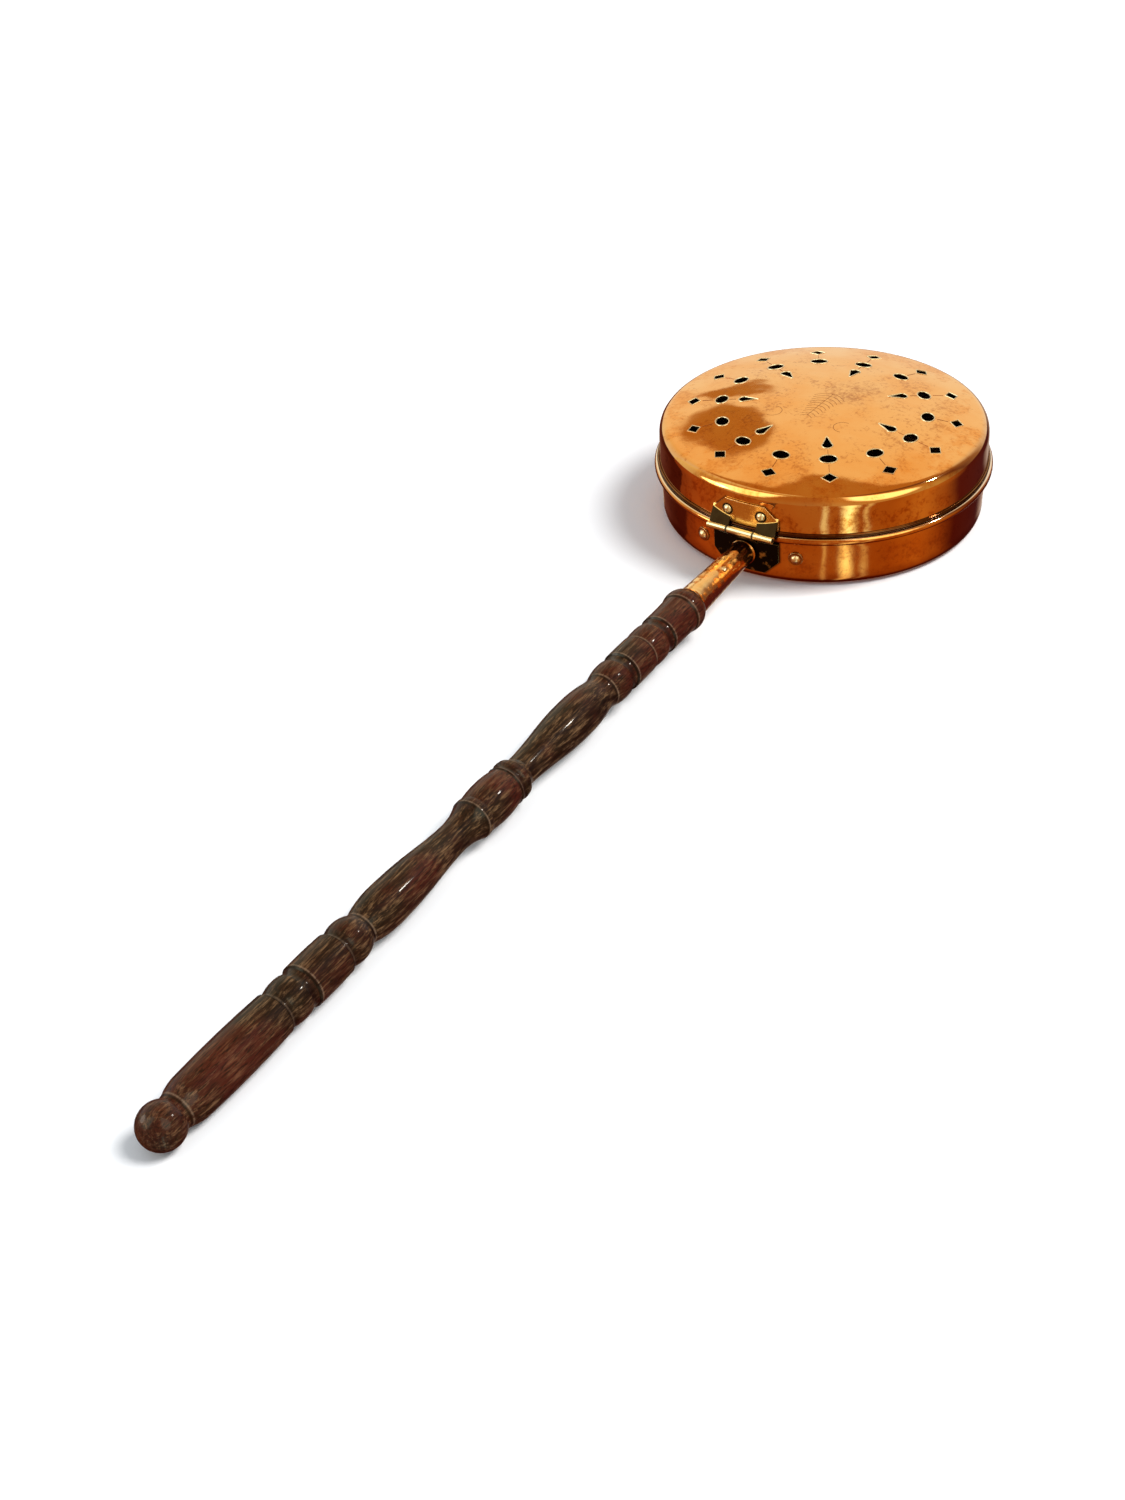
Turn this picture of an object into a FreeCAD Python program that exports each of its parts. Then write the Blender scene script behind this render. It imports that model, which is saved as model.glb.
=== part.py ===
import FreeCAD, Part
import math
import os
import Sketcher

# Antique copper bed warmer, in millimetres.
# The pan's base lies on the floor at z = 0, centred on the origin.
# The handle points along -Y and the lid hinges above it, about a line along X.

document = FreeCAD.newDocument("bed_warmer")
sheet = document.addObject("Spreadsheet::Sheet", "sizes")

# Sizes that can be set by themselves
DRIVING = {
    # Fits between pieces
    "seat_gap": 0.05,
    "wire_gap": 0.2,
    "lid_gap": 0.3,
    "curl_end": 70,
    "pin_clearance": 0.05,
    "knuckle_gap": 0.3,
    "hole_reach": 12,
    # Copper pan
    "rim_radius": 145,
    "rim_height": 44.6,
    "rim_wire": 3.3,
    "pan_gauge": 1.2,
    "pan_corner": 8,
    "wall_lean": 3,
    # Pierced copper lid
    "lid_gauge": 0.8,
    "lid_wire": 0.9,
    "lid_inset": 2.3,
    "skirt_rise": 24.5,
    "lid_shoulder": 10,
    "crown_radius": 640,
    "hole_count": 14,
    "diamond_ring": 113,
    "diamond_width": 12.6,
    "diamond_length": 10.4,
    "oval_ring": 88.5,
    "oval_width": 11.2,
    "oval_length": 10.4,
    "oval_end": 4,
    "oval_end_rise": 1.4,
    "drop_count": 7,
    "drop_ring": 69,
    "drop_radius": 4.2,
    "drop_length": 15.5,
    "pattern_turn": 3.7,
    # Hinge
    "barrel_radius": 2.8,
    "pin_radius": 1.3,
    "pin_head": 0.9,
    "barrel_stand": 0.4,
    "leaf_width": 60,
    "middle_knuckle": 24,
    "leaf_gauge": 1.3,
    "leaf_clip": 12,
    "lid_leaf_foot": 3.7,
    "lid_leaf_rise": 24,
    "lid_web_slope": 60,
    "web_reach": 18,
    "leaf_rivet_rise": 14.5,
    "leaf_rivet_spread": 6.2,
    "pan_web_slope": 45,
    "plate_foot": 8.6,
    "plate_drop": 6.5,
    "plate_gauge": 1.5,
    # Rivets
    "leaf_rivet_head": 3.9,
    "leaf_rivet_dome": 2.6,
    "leaf_rivet_shank": 1.7,
    "plate_rivet_head": 2.2,
    "plate_rivet_dome": 1.4,
    "plate_rivet_shank": 1.2,
    "plate_rivet_height": 11.9,
    "strap_rivet_head": 4,
    "strap_rivet_dome": 2.8,
    "strap_rivet_shank": 2.2,
    "strap_rivet_turn": 18,
    "rove_radius": 6.4,
    "rove_gauge": 1,
    "tail_height": 1,
    "tail_spread": 1,
    # Iron strap and tang
    "strap_gauge": 3,
    "strap_width": 22,
    "strap_turn": 24,
    "tang_radius": 4.5,
    "tang_reach": 128,
    "tang_point": 12,
    "tang_point_radius": 1.5,
    "tang_head_gap": 0.4,
    "tang_head": 7.5,
    "tang_dome": 3,
    # Socket and its nail
    "socket_height": 26,
    "socket_start": 2.6,
    "socket_length": 91,
    "socket_tip_radius": 10.6,
    "socket_mouth_radius": 13.4,
    "socket_gauge": 1,
    "lip_width": 2.4,
    "lip_rise": 0.8,
    "nail_place": 47,
    "nail_turn": 35,
    "nail_shank": 1,
    "nail_head": 2.4,
    "nail_dome": 1,
    "nail_bite": 3,
    "nail_lift": 0.15,
    # Turned handle
    "spigot_start": 14,
    "mouth_radius": 15.4,
    "bore_end": 2,
    "ball_radius": 16.4,
}

# Turned elements from the socket's mouth to the ball: name, length, radius at the far end,
# and how far the arc between its ends bulges (+) or hollows (-)
TURNING = (
    ("mouth_lip", 14, 17.4, 1.5),
    ("mouth_quirk", 2, 16.6, 0),
    ("mouth_barrel", 31.5, 16.3, -0.2),
    ("mouth_arris", 1, 15.2, 0),
    ("mouth_cove", 10.5, 16.2, -0.8),
    ("collar_bead", 18, 15.2, 0.7),
    ("collar_arris", 1, 16.3, 0),
    ("lower_barrel", 25.5, 16.4, 0.1),
    ("lower_arris", 1, 15, 0),
    ("lower_cove", 9.5, 16.2, -0.8),
    ("lower_bead", 18, 14.4, 0.9),
    ("lower_neck", 10.5, 14.2, -0.6),
    ("lower_vase", 29.5, 16.8, 0.8),
    ("lower_belly", 33, 15.1, 0.5),
    ("lower_taper", 34, 12.2, -0.3),
    ("ring_neck", 8, 12.1, 0),
    ("ring_flare", 7, 15.8, -0.4),
    ("ring", 4, 16.2, 0.1),
    ("ring_cove", 7, 16.1, -1),
    ("bulb_quirk", 1, 15.5, 0),
    ("middle_bulb", 35.5, 15.6, 1.6),
    ("bulb_collar", 6.5, 16.2, 0.4),
    ("collar_cove", 11, 12.8, -0.3),
    ("upper_neck", 10, 11.7, -0.1),
    ("upper_taper", 31, 13.6, -0.4),
    ("upper_belly", 46, 16.4, 0.6),
    ("upper_vase", 32.5, 12.6, 1.3),
    ("vase_neck", 2, 13, 0),
    ("upper_bead", 20, 15, 2.2),
    ("upper_groove", 5, 14.9, -0.4),
    ("upper_arris", 1, 16.3, 0),
    ("upper_barrel", 34.5, 16.6, 0.3),
    ("barrel_step", 1, 15.3, 0),
    ("barrel_cove", 8, 15.9, -0.8),
    ("grip_bead", 15, 14.9, 0.9),
    ("grip_groove", 4.5, 14.9, -0.3),
    ("grip_arris", 1, 16, 0.1),
    ("grip", 78, 16.5, 0.8),
    ("grip_end", 15.5, 13.6, 0.8),
    ("ball_neck", 5, 12.9, -0.2),
)


class Size:
    """A number together with the sheet expression that it comes from."""

    def __init__(self, number, text):
        self.number = number
        self.text = text

    def joined(self, sign, other, number):
        return Size(number, f"({self.text} {sign} {other.text})")

    def __add__(self, other):
        other = as_size(other)
        return self.joined("+", other, self.number + other.number)

    def __sub__(self, other):
        other = as_size(other)
        return self.joined("-", other, self.number - other.number)

    def __mul__(self, other):
        other = as_size(other)
        return self.joined("*", other, self.number * other.number)

    def __truediv__(self, other):
        other = as_size(other)
        return self.joined("/", other, self.number / other.number)

    def __rsub__(self, other):
        return as_size(other) - self

    def __neg__(self):
        return as_size(0) - self

    __radd__ = __add__
    __rmul__ = __mul__


def as_size(value):
    """Wrap a plain number, which stands for itself in an expression."""
    return value if isinstance(value, Size) else Size(float(value), repr(float(value)))


def root(value):
    return Size(math.sqrt(value.number), f"sqrt({value.text})")


def sine(degrees):
    return Size(math.sin(math.radians(degrees.number)), f"sin({degrees.text})")


def cosine(degrees):
    return Size(math.cos(math.radians(degrees.number)), f"cos({degrees.text})")


class Sizes:
    """The sheet's named cells, one row each."""

    def __init__(self):
        self.row = 0

    def cell(self, alias, content, number):
        self.row += 1
        sheet.set(f"A{self.row}", alias)
        sheet.set(f"B{self.row}", content)
        sheet.setAlias(f"B{self.row}", alias)
        value = Size(float(number), f"sizes.{alias}")
        setattr(self, alias, value)
        return value

    def drive(self, alias, number):
        return self.cell(alias, str(number), number)

    def derive(self, alias, value):
        return self.cell(alias, "=" + value.text.replace("sizes.", ""), value.number)


size = Sizes()
for alias, number in DRIVING.items():
    size.drive(alias, number)

# Rolled rim of the pan: the sheet goes up inside the wire, over it and back under it
rim_bore = size.derive("rim_bore", size.rim_wire / 2 + size.wire_gap)
rim_roll = size.derive("rim_roll", rim_bore + size.pan_gauge)
rim_centre = size.derive("rim_centre", size.rim_radius - rim_roll)
rim_top = size.derive("rim_top", size.rim_height + rim_roll)
wall_top = rim_centre - rim_bore
lean_ratio = sine(size.wall_lean) / cosine(size.wall_lean)
foot_radius = size.derive("foot_radius", wall_top - (size.rim_height - size.pan_corner) * lean_ratio)

# Rolled edge of the lid, which rests on the pan's rim
lid_bore = size.derive("lid_bore", size.lid_wire / 2 + size.wire_gap)
lid_roll = size.derive("lid_roll", lid_bore + size.lid_gauge)
lid_roll_centre = size.derive("lid_roll_centre", size.rim_radius - size.lid_inset - lid_roll)
lid_edge = size.derive("lid_edge", rim_top + size.lid_gap + lid_roll)
skirt_radius = size.derive("skirt_radius", lid_roll_centre - lid_bore)
skirt_top = size.derive("skirt_top", lid_edge + size.skirt_rise)

# The shoulder's arc runs tangent into the crown's, so their centres lie on one line
shoulder_centre = skirt_radius - size.lid_shoulder
centre_gap = size.crown_radius - size.lid_shoulder
crown_drop = root(centre_gap * centre_gap - shoulder_centre * shoulder_centre)
crown_centre = size.derive("crown_centre", skirt_top - crown_drop)
crown_top = size.derive("crown_top", crown_centre + size.crown_radius)

# The hinge line runs along X, level with the top of the pan's rim and just outside it
hinge_reach = size.derive("hinge_reach", size.rim_radius + size.barrel_stand + size.barrel_radius)
hinge_height = rim_top
barrel_bore = size.pin_radius + size.pin_clearance
side_knuckle = (size.leaf_width - size.middle_knuckle) / 2 - size.knuckle_gap

# The handle leaves the wall at the socket's height and dips until its ball rests on the floor
turning_ends = []
turned_so_far = size.socket_start + size.socket_length + size.seat_gap
handle_mouth = size.derive("handle_mouth", turned_so_far)
for name, length, end_radius, rise in TURNING:
    size.drive(f"{name}_length", length)
    size.drive(f"{name}_radius", end_radius)
    size.drive(f"{name}_rise", rise)
    turned_so_far = turned_so_far + getattr(size, f"{name}_length")
    turned_so_far = size.derive(f"{name}_end", turned_so_far)
ball_start = size.ball_neck_radius
ball_offset = root(size.ball_radius * size.ball_radius - ball_start * ball_start)
ball_place = size.derive("ball_place", size.ball_neck_end + ball_offset)
dip_ratio = (size.socket_height - size.ball_radius) / ball_place
handle_dip = size.derive("handle_dip", Size(
    math.degrees(math.asin(dip_ratio.number)), f"(asin({dip_ratio.text}) / 1 deg)"))


def wall_outside(height):
    """Radius of the pan's leaning wall, outside, at a height above its corner."""
    return foot_radius + (height - size.pan_corner) * lean_ratio


def bind(feature, **properties):
    """Tie the feature's properties to the sheet."""
    for name, value in properties.items():
        feature.setExpression(name, as_size(value).text)


def placed(x=0, y=0, z=0, turn=0, roll=0):
    """Expression that turns about X by roll, then about Z by turn, and then moves."""
    x, y, z, turn, roll = (as_size(value).text for value in (x, y, z, turn, roll))
    return f"placement(vector({x}; {y}; {z}); rotation({turn}; 0; {roll}))"


def placed_radially(radius, height, turn=0, tilt=0):
    """Expression that points Z out of the pan, at an angle from the handle's side, tilted down."""
    turn = as_size(turn)
    return placed(radius * sine(turn), -(radius * cosine(turn)), height, turn, 90 + as_size(tilt))


def place(feature, *placements):
    """Give the feature one placement, or several that follow each other."""
    feature.setExpression("Placement", " * ".join(placements))


def new_body(name):
    return document.addObject("PartDesign::Body", name)


def arc_between(start, end, radius):
    """Arc of under a half circle; a positive radius keeps its centre left of the way it runs."""
    middle = (start + end) * 0.5
    run = end - start
    reach = math.sqrt(max(radius ** 2 - (run.Length / 2) ** 2, 0))
    left = FreeCAD.Vector(-run.y, run.x, 0).normalize()
    centre = middle + left * (reach if radius > 0 else -reach)
    first, last = (start, end) if radius > 0 else (end, start)
    angles = [math.atan2(point.y - centre.y, point.x - centre.x) for point in (first, last)]
    circle = Part.Circle(centre, FreeCAD.Vector(0, 0, 1), abs(radius))
    return Part.ArcOfCircle(circle, angles[0], angles[1])


def add_outline(sketch, corners):
    """Closed outline through (x, y) corners; a third value is the radius of the arc that starts there."""
    corners = [tuple(as_size(value) for value in corner) for corner in corners]
    points = [FreeCAD.Vector(corner[0].number, corner[1].number, 0) for corner in corners]
    first = sketch.GeometryCount
    starts = []
    ends = []
    for index, corner in enumerate(corners):
        start, end = points[index], points[(index + 1) % len(points)]
        if len(corner) == 3:
            sketch.addGeometry(arc_between(start, end, corner[2].number))
            forwards = corner[2].number > 0
        else:
            sketch.addGeometry(Part.LineSegment(start, end))
            forwards = True
        starts.append(1 if forwards else 2)
        ends.append(2 if forwards else 1)
    for index, corner in enumerate(corners):
        before = (index - 1) % len(corners)
        edge = first + index
        sketch.addConstraint(Sketcher.Constraint("Coincident", first + before, ends[before], edge, starts[index]))
        for axis, kind, value in ((-2, "DistanceX", corner[0]), (-1, "DistanceY", corner[1])):
            if value.number == 0:
                sketch.addConstraint(Sketcher.Constraint("PointOnObject", edge, starts[index], axis))
            else:
                fix_constraint(sketch, Sketcher.Constraint(
                    kind, -1, 1, edge, starts[index], value.number), value)
        if len(corner) == 3:
            radius = corner[2] if corner[2].number > 0 else -corner[2]
            fix_constraint(sketch, Sketcher.Constraint("Radius", edge, radius.number), radius)


def fix_constraint(sketch, constraint, value):
    number = sketch.addConstraint(constraint)
    sketch.setExpression(f"Constraints[{number}]", value.text)


def new_sketch(body, name, role):
    sketch = body.newObject("Sketcher::SketchObject", name)
    support = next(feature for feature in body.Origin.OriginFeatures if feature.Role == role)
    sketch.AttachmentSupport = [(support, "")]
    sketch.MapMode = "FlatFace"
    return sketch


def turned(name, corners, angle=360):
    """Body turned from a half section: x is the radius, y runs along the axis."""
    body = new_body(name)
    sketch = new_sketch(body, f"{name}_section", "XZ_Plane")
    add_outline(sketch, corners)
    revolution = body.newObject("PartDesign::Revolution", f"{name}_turned")
    revolution.Profile = sketch
    revolution.ReferenceAxis = (sketch, ["V_Axis"])
    bind(revolution, Angle=angle)
    revolution.Midplane = True
    return body


def extruded(name, corners, length, role="YZ_Plane"):
    """Body of one outline, padded both ways from the given plane."""
    body = new_body(name)
    sketch = new_sketch(body, f"{name}_outline", role)
    add_outline(sketch, corners)
    pad = body.newObject("PartDesign::Pad", f"{name}_pad")
    pad.Profile = sketch
    bind(pad, Length=length)
    pad.Midplane = True
    return body


def cylinder(name, radius, length):
    feature = document.addObject("Part::Cylinder", name)
    bind(feature, Radius=radius, Height=length)
    return feature


def ring_wire(name, ring_radius, wire, height):
    """Closed hoop of round wire."""
    feature = document.addObject("Part::Torus", name)
    bind(feature, Radius1=ring_radius, Radius2=wire / 2)
    place(feature, placed(z=height))
    return feature


def fused(name, *features):
    feature = document.addObject("Part::MultiFuse", name)
    feature.Shapes = list(features)
    return feature


def common(name, first, second):
    feature = document.addObject("Part::MultiCommon", name)
    feature.Shapes = [first, second]
    return feature


def cut(name, base, *tools):
    """The base with every tool taken away from it."""
    feature = document.addObject("Part::Cut", name)
    feature.Base = base
    feature.Tool = tools[0] if len(tools) == 1 else fused(f"{name}_tools", *tools)
    return feature


def dome(radius, height):
    """Radius of the arc that rises by height over a half width of radius."""
    return (radius * radius + height * height) / (height * 2)


def bulge(length, step, rise):
    """Radius of the arc that bulges by rise between two points a length and a step apart."""
    chord = length * length + step * step
    return (chord / 4 + rise * rise) / (rise * 2)


def rivet(name, head, head_dome, shank, grip):
    """Rivet with a domed head outside and its tail hammered over inside; z = 0 is under the head."""
    tail = shank + size.tail_spread
    inside = -(grip + size.seat_gap)
    return turned(name, [
        (0, inside - size.tail_height, dome(tail, size.tail_height)),
        (tail, inside),
        (shank, inside),
        (shank, size.seat_gap),
        (head, size.seat_gap, dome(head, head_dome)),
        (0, head_dome + size.seat_gap),
    ])


parts = {}


def keep(label, feature):
    """Name a finished piece, which is written under that name."""
    feature.Label = label
    parts[label] = feature


# Where the rivets and the handle cross the copper: Z points out, z = 0 is its outer face
def at_strap_rivet(turn):
    return placed_radially(wall_outside(size.socket_height), size.socket_height, turn, size.wall_lean)


def at_leaf_rivet(turn):
    return placed_radially(skirt_radius, hinge_height + size.leaf_rivet_rise, turn)


at_plate_rivet = placed_radially(
    wall_outside(size.plate_rivet_height), size.plate_rivet_height, 0, size.wall_lean)
at_handle = placed_radially(wall_outside(size.socket_height), size.socket_height, 0, handle_dip)


def hole(name, shank, place_there):
    """Round tool for the hole that a shank passes through, well past both faces of the copper."""
    tool = cylinder(name, shank + size.seat_gap, size.hole_reach * 2)
    place(tool, place_there, placed(z=-size.hole_reach))
    return tool


# Copper pan, raised from one sheet, with its rim rolled outward over a wire
pan_blank = turned("pan_blank", [
    (0, size.pan_gauge),
    (foot_radius - size.pan_corner, size.pan_gauge, size.pan_corner - size.pan_gauge),
    (foot_radius - size.pan_gauge, size.pan_corner),
    (rim_centre - rim_roll, size.rim_height, -rim_roll),
    (rim_centre, rim_top, -rim_roll),
    (rim_centre + rim_roll, size.rim_height, -rim_roll),
    (rim_centre - rim_roll * cosine(size.curl_end), size.rim_height - rim_roll * sine(size.curl_end)),
    (rim_centre - rim_bore * cosine(size.curl_end), size.rim_height - rim_bore * sine(size.curl_end), rim_bore),
    (rim_centre + rim_bore, size.rim_height, rim_bore),
    (rim_centre, size.rim_height + rim_bore, rim_bore),
    (wall_top, size.rim_height),
    (foot_radius, size.pan_corner, -size.pan_corner),
    (foot_radius - size.pan_corner, 0),
    (0, 0),
])
keep("pan_bowl", cut(
    "pan_pierced", pan_blank,
    hole("pan_hole_left", size.strap_rivet_shank, at_strap_rivet(-size.strap_rivet_turn)),
    hole("pan_hole_right", size.strap_rivet_shank, at_strap_rivet(size.strap_rivet_turn)),
    hole("pan_hole_tang", size.tang_radius, at_handle),
    hole("pan_hole_plate", size.plate_rivet_shank, at_plate_rivet),
))
keep("pan_rim_wire", ring_wire("pan_wire", rim_centre, size.rim_wire, size.rim_height))


# Copper lid: skirt, shoulder and crown of one sheet, its edge rolled outward over a thin wire
def crown_point(sphere, shoulder):
    """Where the shoulder's arc passes into the crown's."""
    ratio = shoulder_centre / centre_gap
    height = crown_drop / centre_gap
    return shoulder_centre + ratio * shoulder, skirt_top + height * shoulder


inner_shoulder = size.lid_shoulder - size.lid_gauge
inner_crown = size.crown_radius - size.lid_gauge
outer_join = crown_point(size.crown_radius, size.lid_shoulder)
inner_join = crown_point(inner_crown, inner_shoulder)
lid_body = turned("lid_raised", [
    (0, crown_top, -size.crown_radius),
    (*outer_join, -size.lid_shoulder),
    (skirt_radius, skirt_top),
    (skirt_radius, lid_edge, lid_bore),
    (lid_roll_centre, lid_edge - lid_bore, lid_bore),
    (lid_roll_centre + lid_bore, lid_edge, lid_bore),
    (lid_roll_centre - lid_bore * cosine(size.curl_end), lid_edge + lid_bore * sine(size.curl_end)),
    (lid_roll_centre - lid_roll * cosine(size.curl_end), lid_edge + lid_roll * sine(size.curl_end), -lid_roll),
    (lid_roll_centre + lid_roll, lid_edge, -lid_roll),
    (lid_roll_centre, lid_edge - lid_roll, -lid_roll),
    (lid_roll_centre - lid_roll, lid_edge),
    (skirt_radius - size.lid_gauge, skirt_top, inner_shoulder),
    (*inner_join, inner_crown),
    (0, crown_top - size.lid_gauge),
])


def pierce(body, name, add_shape, count):
    """Cut one opening straight up through the crown and repeat it round the middle."""
    sketch = new_sketch(body, f"{name}_shape", "XY_Plane")
    add_shape(sketch)
    pocket = body.newObject("PartDesign::Pocket", f"{name}_pocket")
    pocket.Profile = sketch
    pocket.Type = "ThroughAll"
    pocket.Reversed = True
    pattern = body.newObject("PartDesign::PolarPattern", f"{name}_ring")
    pattern.Originals = [pocket]
    pattern.Axis = (next(feature for feature in body.Origin.OriginFeatures if feature.Role == "Z_Axis"), [""])
    pattern.Angle = 360
    bind(pattern, Occurrences=count)
    body.Tip = pattern


def diamond(sketch):
    add_outline(sketch, [
        (size.diamond_width / 2, -size.diamond_ring),
        (0, size.diamond_length / 2 - size.diamond_ring),
        (-size.diamond_width / 2, -size.diamond_ring),
        (0, -size.diamond_length / 2 - size.diamond_ring),
    ])


def oval(sketch):
    """Almond of two arcs, long across the spoke, with blunt ends."""
    half = size.oval_width / 2
    blunt = size.oval_end / 2
    side = bulge(size.oval_width, as_size(0), size.oval_length / 2 - blunt)
    end = bulge(size.oval_end, as_size(0), size.oval_end_rise)
    add_outline(sketch, [
        (half, blunt - size.oval_ring, side),
        (-half, blunt - size.oval_ring, end),
        (-half, -blunt - size.oval_ring, side),
        (half, -blunt - size.oval_ring, end),
    ])


def drop(sketch):
    """Teardrop whose point looks to the middle of the lid, away from the handle."""
    tip = size.drop_length - size.drop_radius
    inward = size.drop_radius * size.drop_radius / tip
    across = size.drop_radius * root(1 - inward / tip)
    add_outline(sketch, [
        (0, size.drop_ring - tip),
        (across, size.drop_ring - inward, size.drop_radius),
        (0, size.drop_ring + size.drop_radius, size.drop_radius),
        (-across, size.drop_ring - inward),
    ])


pierce(lid_body, "diamond", diamond, size.hole_count)
pierce(lid_body, "oval", oval, size.hole_count)
pierce(lid_body, "drop", drop, size.drop_count)
place(lid_body, placed(turn=size.pattern_turn))
keep("lid_shell", cut(
    "lid_pierced", lid_body,
    hole("lid_hole_left", size.leaf_rivet_shank, at_leaf_rivet(-size.leaf_rivet_spread)),
    hole("lid_hole_right", size.leaf_rivet_shank, at_leaf_rivet(size.leaf_rivet_spread)),
))
keep("lid_rim_wire", ring_wire("lid_wire_hoop", lid_roll_centre, size.lid_wire, lid_edge))


# Hinge leaves: a plate that hugs the copper, a web, and knuckles round the pin
def knuckle(name, length, shift):
    """Length of barrel along the hinge line, its middle moved by shift."""
    barrel = cylinder(name, size.barrel_radius, length)
    place_along_hinge(barrel, shift - length / 2)
    return barrel


def hinge_bore(name):
    bore = cylinder(name, barrel_bore, size.leaf_width * 2)
    place_along_hinge(bore, -size.leaf_width)
    return bore


def place_along_hinge(feature, start):
    """Lay the feature's Z axis along X on the hinge line."""
    feature.setExpression("Placement", (
        f"placement(vector({as_size(start).text}; {(-hinge_reach).text}; {hinge_height.text});"
        " rotation(vector(0; 1; 0); 90))"))


def web(name, slope, upward, side, gauge, length, shift=0):
    """Strip that leaves the barrel at a tangent, in front (1) or behind (-1), and slopes to the wall."""
    along = (cosine(slope), sine(slope) * upward)
    away = (-sine(slope) * side, cosine(slope) * upward * side)
    corners = []
    for distance, reach in ((size.barrel_radius, 0), (size.barrel_radius, size.web_reach),
                            (size.barrel_radius - gauge, size.web_reach), (size.barrel_radius - gauge, 0)):
        corners.append((along[0] * reach + away[0] * distance - hinge_reach,
                        along[1] * reach + away[1] * distance + hinge_height))
    strip = extruded(name, corners, length)
    place(strip, placed(x=shift))
    return strip


def clipped_plate(name, foot, top, clip_foot, clip_top):
    """Flat plate outline with two corners clipped, standing across the handle's side of the pan."""
    half = size.leaf_width / 2
    corners = []
    if clip_foot:
        corners += [(-half, foot + size.leaf_clip), (size.leaf_clip - half, foot),
                    (half - size.leaf_clip, foot), (half, foot + size.leaf_clip)]
    else:
        corners += [(-half, foot), (half, foot)]
    if clip_top:
        corners += [(half, top - size.leaf_clip), (half - size.leaf_clip, top),
                    (size.leaf_clip - half, top), (-half, top - size.leaf_clip)]
    else:
        corners += [(half, top), (-half, top)]
    return extruded(name, corners, size.rim_radius * 3, "XZ_Plane")


def handle_side(name, corners):
    """Band turned from a half section, kept only on the handle's side of the pan."""
    band = turned(name, corners, 90)
    place(band, placed(turn=-90))
    return band


# Brass leaf on the lid, with the two outer knuckles
lid_plate_inside = skirt_radius + size.seat_gap
lid_plate = common("lid_plate", clipped_plate(
    "lid_plate_outline", hinge_height + size.lid_leaf_foot, hinge_height + size.lid_leaf_rise, False, True),
    handle_side("lid_plate_band", [
        (lid_plate_inside, lid_edge),
        (lid_plate_inside + size.leaf_gauge, lid_edge),
        (lid_plate_inside + size.leaf_gauge, crown_top),
        (lid_plate_inside, crown_top),
    ]))
side_shift = (size.leaf_width - side_knuckle) / 2
lid_leaf_pieces = [lid_plate]
for side, sign in (("left", -1), ("right", 1)):
    lid_leaf_pieces.append(knuckle(f"lid_knuckle_{side}", side_knuckle, side_shift * sign))
    lid_leaf_pieces.append(web(
        f"lid_web_{side}", size.lid_web_slope, 1, -1, size.leaf_gauge, side_knuckle, side_shift * sign))
keep("hinge_lid_leaf", cut(
    "lid_leaf", fused("lid_leaf_whole", *lid_leaf_pieces),
    cylinder("lid_leaf_clearance", lid_plate_inside, crown_top),
    hinge_bore("lid_leaf_bore"),
    hole("leaf_hole_left", size.leaf_rivet_shank, at_leaf_rivet(-size.leaf_rivet_spread)),
    hole("leaf_hole_right", size.leaf_rivet_shank, at_leaf_rivet(size.leaf_rivet_spread)),
))

# Brass plate on the pan's wall, with the middle knuckle
plate_top = size.rim_height - size.plate_drop
band_foot = size.pan_corner
plate_inside = wall_outside(band_foot) + size.seat_gap
plate_inside_top = wall_outside(size.rim_height) + size.seat_gap
pan_plate = common("pan_plate", clipped_plate(
    "pan_plate_outline", size.plate_foot, plate_top, True, False),
    handle_side("pan_plate_band", [
        (plate_inside, band_foot),
        (plate_inside + size.plate_gauge, band_foot),
        (plate_inside_top + size.plate_gauge, size.rim_height),
        (plate_inside_top, size.rim_height),
    ]))
wall_clearance = turned("wall_clearance", [
    (0, band_foot),
    (plate_inside, band_foot),
    (plate_inside_top, size.rim_height),
    (0, size.rim_height),
])
keep("hinge_pan_leaf", cut(
    "pan_leaf", fused(
        "pan_leaf_whole", pan_plate,
        knuckle("pan_knuckle", size.middle_knuckle, 0),
        web("pan_web", size.pan_web_slope, -1, 1, size.plate_gauge, size.middle_knuckle)),
    wall_clearance,
    hinge_bore("pan_leaf_bore"),
    hole("plate_hole_tang", size.tang_radius, at_handle),
    hole("plate_hole_rivet", size.plate_rivet_shank, at_plate_rivet),
))

# Hinge pin, hammered over at both ends
pin_end = size.leaf_width / 2 + size.seat_gap
pin_head_radius = size.pin_radius + size.pin_head
hinge_pin = turned("pin_turned", [
    (0, -pin_end - size.pin_head, dome(pin_head_radius, size.pin_head)),
    (pin_head_radius, -pin_end),
    (size.pin_radius, -pin_end),
    (size.pin_radius, pin_end),
    (pin_head_radius, pin_end, dome(pin_head_radius, size.pin_head)),
    (0, pin_end + size.pin_head),
])
place_along_hinge(hinge_pin, 0)
keep("hinge_pin", hinge_pin)

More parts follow.
